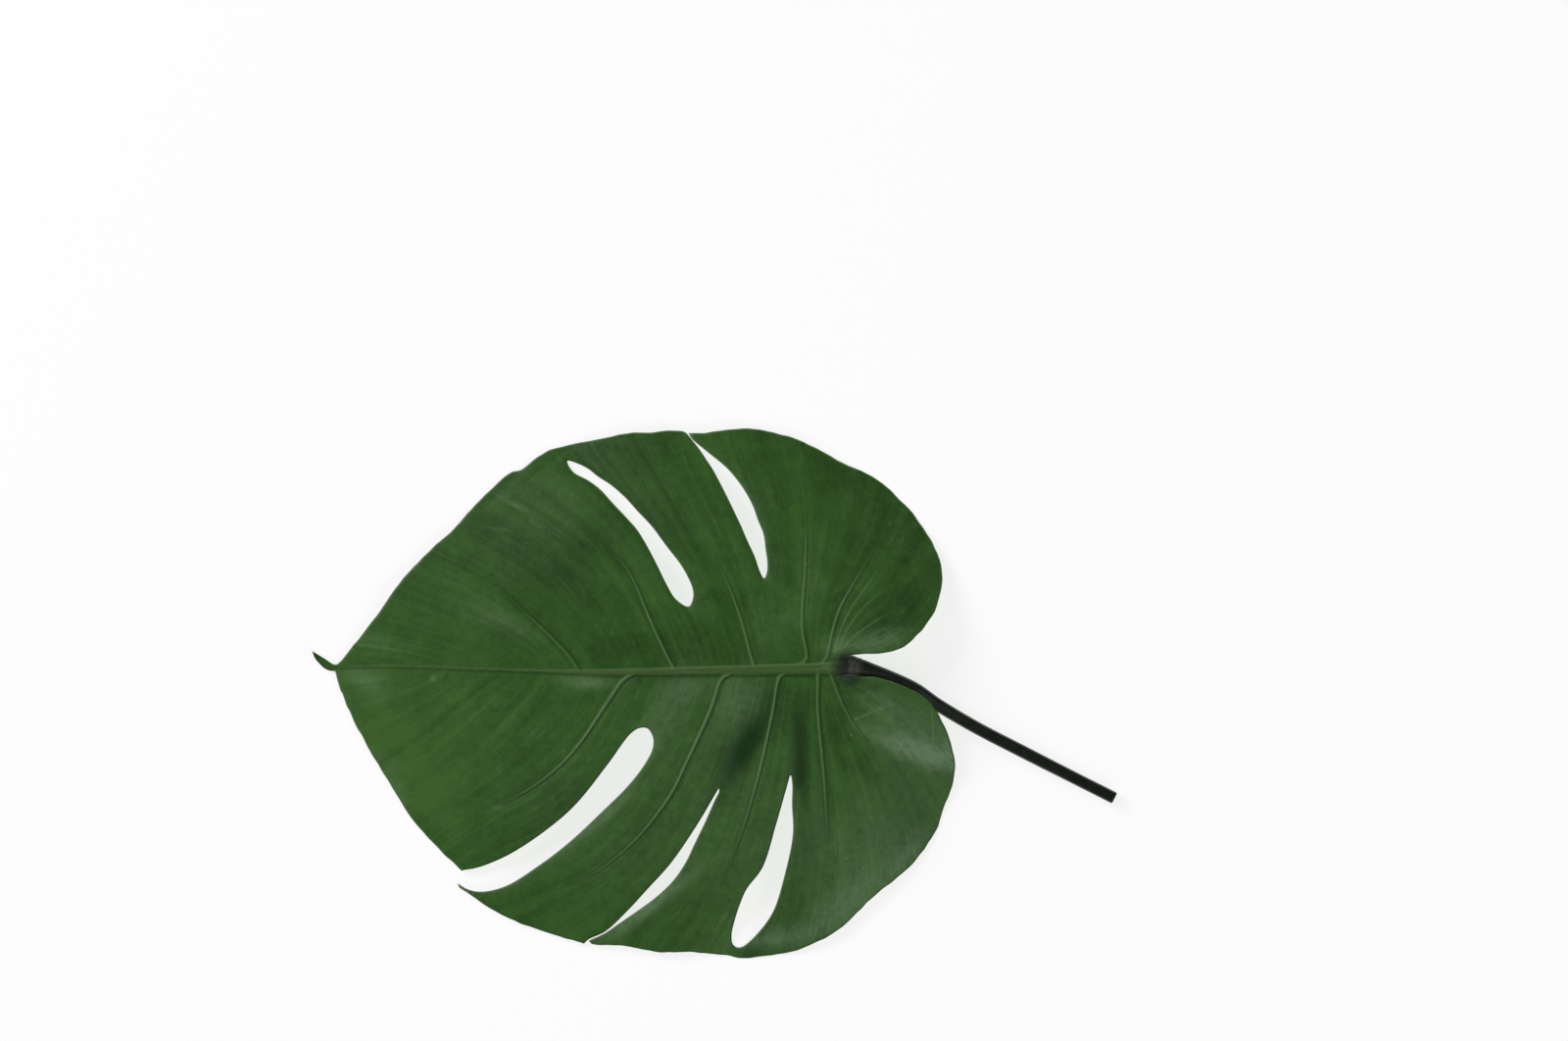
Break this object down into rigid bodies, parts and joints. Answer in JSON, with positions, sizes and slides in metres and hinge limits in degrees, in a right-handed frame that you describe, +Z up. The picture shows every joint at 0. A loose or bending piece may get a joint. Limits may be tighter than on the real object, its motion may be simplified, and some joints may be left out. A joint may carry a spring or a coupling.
{
  "type": "monstera leaf",
  "caption": "Picked monstera leaf laid face up: heart-shaped green blade with slits, closed holes, ribs and a drip tip, on its dark cut stem.",
  "frame": {"origin": "under the middle of the leaf's bounding box, on the surface that it lies on", "axes": "+Z up, out of the blade's upper face; +X from the drip tip along the midrib towards the stem; +Y towards the half with one slit and one hole"},
  "size_m": [0.3462, 0.2284, 0.0257],
  "materials": {
    "blade": "satin",
    "stem": "satin"
  },
  "bodies": {
    "root": {"leaf_blade": "blade", "leaf_stem": "stem"}
  },
  "joints": []
}
